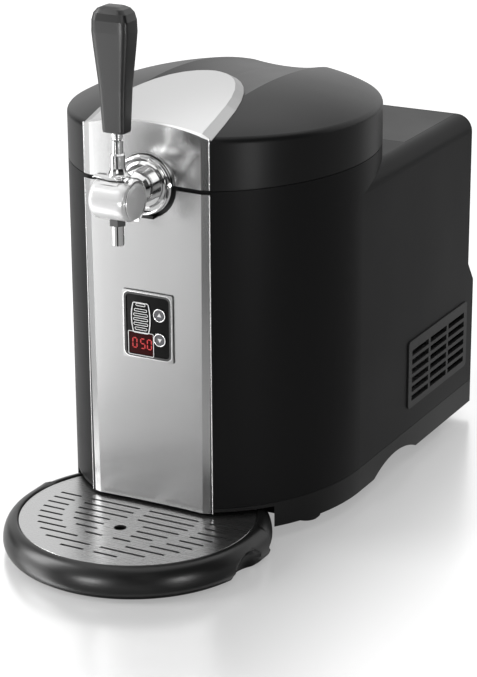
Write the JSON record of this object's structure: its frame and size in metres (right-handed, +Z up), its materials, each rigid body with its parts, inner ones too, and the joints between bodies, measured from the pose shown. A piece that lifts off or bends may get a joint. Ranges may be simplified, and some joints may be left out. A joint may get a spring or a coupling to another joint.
{
  "type": "mini keg beer dispenser",
  "caption": "Counter-top cooler and tap for a five litre beer keg: black oval housing, brushed steel front, hinged lid, lever tap and slide-out drip tray.",
  "frame": {"origin": "on the table, under the middle of the whole dispenser", "axes": "+Z up, -Y towards the front with the tap and drip tray, +X to the right seen from the rear"},
  "size_m": [0.2554, 0.513, 0.4546],
  "materials": {
    "base_plastic": "satin black moulding",
    "bezel_plastic": "satin dark grey",
    "black_plastic": "fine-grained matt moulding",
    "brass": "plain brass",
    "ceramic": "white ceramic",
    "chrome": "polished",
    "circuit_board": "green solder mask",
    "dark_parts": "black technical plastic",
    "deck_plastic": "matt black moulding",
    "display_red": "tinted smooth window",
    "foam": "rigid foam",
    "foot_rubber": "matt rubber",
    "grille_plastic": "matt black moulding",
    "handle_black": "slightly grained black",
    "key_plastic": "satin black keys",
    "line_silicone": "milky silicone",
    "liner_aluminium": "plain aluminium",
    "liner_plastic": "light grey moulding",
    "plain_steel": "plain steel",
    "steel_front": "vertical brushing",
    "steel_grille": "brushed along the slots",
    "tap_satin": "satin white metal",
    "tongue_silver": "fine satin silver",
    "trim_grey": "satin grey"
  },
  "bodies": {
    "housing": {"base_pan": "base_plastic", "base_screws": "plain_steel", "beer_line": "line_silicone", "board_posts": "bezel_plastic", "body_shell": "black_plastic", "chamber_collar": "liner_plastic", "chamber_liner": "liner_aluminium", "cold_block": "liner_aluminium", "control_bezel": "bezel_plastic", "control_board": "circuit_board", "cover_screws": "plain_steel", "display_module": "dark_parts", "display_window": "display_red", "fan_frame": "dark_parts", "front_panel": "steel_front", "heat_sink": "liner_aluminium", "hinge_ears": "deck_plastic", "hinge_pins": "plain_steel", "inlet_pins": "brass", "insulation_jacket": "foam", "keg_coupler": "liner_plastic", "keg_pad": "foot_rubber", "key_switches": "dark_parts", "peltier_module": "ceramic", "power_inlet": "dark_parts", "power_supply": "plain_steel", "rear_cover": "black_plastic", "rear_top_plate": "deck_plastic", "rubber_feet": "foot_rubber", "shank_nut": "brass", "side_grille_left": "grille_plastic", "side_grille_right": "grille_plastic", "spout": "chrome", "spout_nut": "chrome", "switch_housing": "dark_parts", "tap_barrel": "tap_satin", "tap_bracket": "base_plastic", "tap_flange": "chrome", "tap_neck": "chrome", "tap_shank": "plain_steel"},
    "lid": {"lid_shell": "black_plastic", "lid_fascia": "steel_front", "tongue_rim": "trim_grey", "tongue_plate": "tongue_silver", "lid_liner": "liner_plastic", "lid_foam": "foam", "lid_seal": "foot_rubber"},
    "tap_lever": {"tap_saddle": "chrome", "valve_spindle": "plain_steel", "lever_collar": "chrome", "lever_stem": "chrome", "lever_handle": "handle_black", "saddle_screw": "plain_steel"},
    "tray": {"drip_tray": "base_plastic"},
    "grille": {"drip_grille": "steel_grille"},
    "key_up": {"button_up": "key_plastic"},
    "key_down": {"button_down": "key_plastic"},
    "fan": {"fan_rotor": "dark_parts"},
    "rocker": {"power_rocker": "key_plastic"}
  },
  "joints": [
    {"name": "lid_hinge", "type": "hinge", "parent": "housing", "child": "lid", "pos_m": [0, 0.1405, 0.2985], "axis": [-1, 0, 0], "range_deg": [0, 80]},
    {"name": "lever_swing", "type": "hinge", "parent": "housing", "child": "tap_lever", "pos_m": [0, -0.169, 0.3035], "axis": [1, 0, 0], "range_deg": [0, 40]},
    {"name": "tray_slide", "type": "slide", "parent": "housing", "child": "tray", "axis": [0, -1, 0], "range_m": [0, 0.12]},
    {"name": "grille_lift", "type": "slide", "parent": "tray", "child": "grille", "axis": [0, 0, 1], "range_m": [0, 0.002]},
    {"name": "key_up_press", "type": "slide", "parent": "housing", "child": "key_up", "axis": [0, 1, 0], "range_m": [0, 0.001], "stiffness_N_per_m": 400},
    {"name": "key_down_press", "type": "slide", "parent": "housing", "child": "key_down", "axis": [0, 1, 0], "range_m": [0, 0.001], "stiffness_N_per_m": 400},
    {"name": "fan_spin", "type": "hinge", "parent": "housing", "child": "fan", "pos_m": [0, 0.1643, 0.15], "axis": [0, -1, 0], "continuous": true},
    {"name": "rocker_swing", "type": "hinge", "parent": "housing", "child": "rocker", "pos_m": [-0.05, 0.2535, 0.0515], "axis": [1, 0, 0], "range_deg": [0, 16]}
  ]
}
